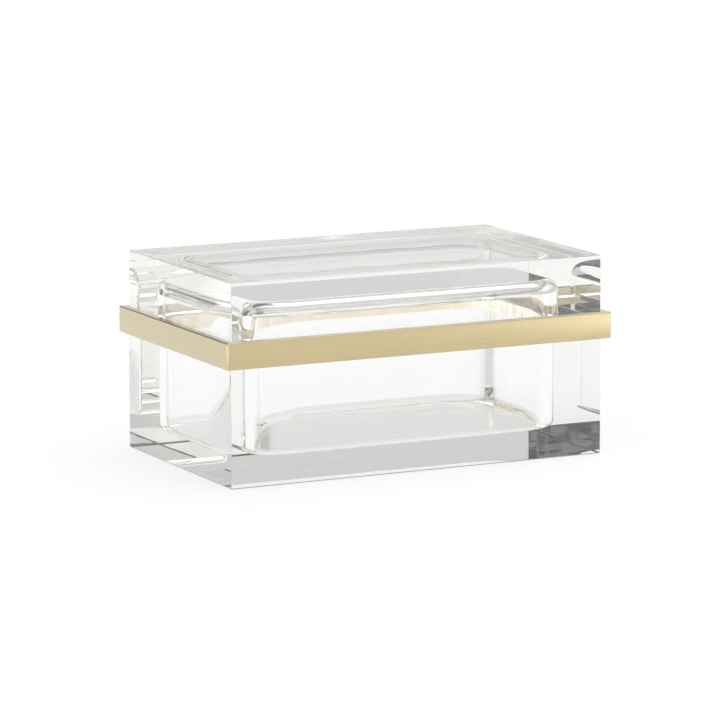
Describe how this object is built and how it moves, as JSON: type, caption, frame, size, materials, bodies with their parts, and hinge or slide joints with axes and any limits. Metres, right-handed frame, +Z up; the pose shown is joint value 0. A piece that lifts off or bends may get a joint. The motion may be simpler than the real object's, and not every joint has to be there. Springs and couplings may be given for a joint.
{
  "type": "keepsake box with lift-off lid",
  "caption": "Rectangular box of thick clear acrylic with a lift-off lid and a mitred brass band round its rim.",
  "frame": {"origin": "middle of the underside of the base block", "axes": "+Z up, the way the lid lifts; X along the long sides; the front faces -Y"},
  "size_m": [0.1784, 0.109, 0.0848],
  "materials": {
    "clear_acrylic": "polished clear cast acrylic, fully transparent",
    "brushed_brass": "satin brushed brass, the grain running along each bar"
  },
  "bodies": {
    "base": {"base_block": "clear_acrylic", "band_front": "brushed_brass", "band_back": "brushed_brass", "band_left": "brushed_brass", "band_right": "brushed_brass"},
    "lid": {"lid_block": "clear_acrylic"}
  },
  "joints": [
    {"name": "lid_lift", "type": "slide", "parent": "base", "child": "lid", "axis": [0, 0, 1], "range_m": [0, 0.08]}
  ]
}
